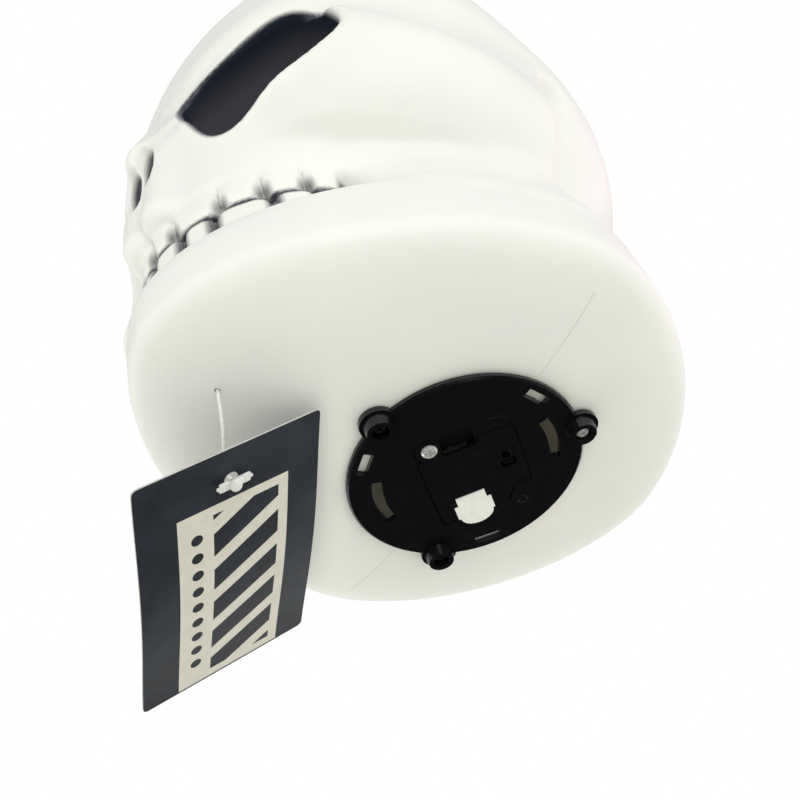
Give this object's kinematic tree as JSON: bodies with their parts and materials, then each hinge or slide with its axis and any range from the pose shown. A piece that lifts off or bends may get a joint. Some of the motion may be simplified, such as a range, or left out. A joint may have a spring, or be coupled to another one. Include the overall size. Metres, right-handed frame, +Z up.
{
  "type": "light-up skull ornament",
  "caption": "Blow-moulded plastic skull on a round battery base with feet, slide switch, screwed battery door, pull tab and a hang tag.",
  "frame": {"origin": "on the round base plate's axis, in the plane of its flat outer face, 3.1 mm above the foot tips", "axes": "+Z up through the crown, -Y the way the face looks, +X towards the skull's own left"},
  "size_m": [0.177, 0.1906, 0.2389],
  "materials": {
    "skull_plastic": "milky white translucent polyethylene with a soft gloss, sprayed black in the hollows",
    "black_plastic": "glossy black moulded ABS",
    "screw_steel": "bright zinc plating",
    "cell_steel": "satin nickel-plated steel",
    "film": "off-white polyester film",
    "board": "green solder mask on glass epoxy",
    "led_resin": "clear epoxy resin",
    "red_wire": "red vinyl insulation",
    "black_wire": "black vinyl insulation",
    "card": "near-black printed card with a light grey panel",
    "nylon": "translucent moulded nylon"
  },
  "bodies": {
    "base": {"skull_shell": "skull_plastic", "base_plate": "black_plastic", "base_screw_1": "screw_steel", "base_screw_2": "screw_steel", "base_screw_3": "screw_steel", "button_cell_1": "cell_steel", "button_cell_2": "cell_steel", "button_cell_3": "cell_steel", "negative_contact": "cell_steel", "positive_contact": "cell_steel", "switch_body": "cell_steel", "circuit_board": "board", "board_screw_1": "screw_steel", "board_screw_2": "screw_steel", "led_1": "led_resin", "led_2": "led_resin", "led_3": "led_resin", "control_chip": "black_plastic", "resistor": "black_plastic", "positive_wire": "red_wire", "negative_wire": "black_wire", "switch_wire": "black_wire"},
    "switch_knob": {"switch_knob": "black_plastic"},
    "battery_door": {"battery_door": "black_plastic", "battery_door_screw": "screw_steel"},
    "pull_tab": {"battery_pull_tab": "film"},
    "tag_fastener": {"tag_fastener": "nylon"},
    "hang_tag": {"hang_tag": "card"}
  },
  "joints": [
    {"name": "switch_slide", "type": "slide", "parent": "base", "child": "switch_knob", "axis": [0.6293, -0.7771, 0], "range_m": [0, 0.0024]},
    {"name": "battery_door_lift", "type": "slide", "parent": "base", "child": "battery_door", "axis": [0, 0, -1], "range_m": [0, 0.02]},
    {"name": "pull_tab_slide", "type": "slide", "parent": "battery_door", "child": "pull_tab", "axis": [0, 0, -1], "range_m": [0, 0.014]},
    {"name": "tag_swivel", "type": "hinge", "parent": "base", "child": "tag_fastener", "pos_m": [-0.0038, -0.0756, 0.0021], "axis": [0, 0, 1], "range_deg": [0, 150]},
    {"name": "tag_flap", "type": "hinge", "parent": "tag_fastener", "child": "hang_tag", "pos_m": [-0.0142, -0.069, -0.0134], "axis": [-0.3973, -0.7935, -0.461], "range_deg": [0, 20]}
  ]
}
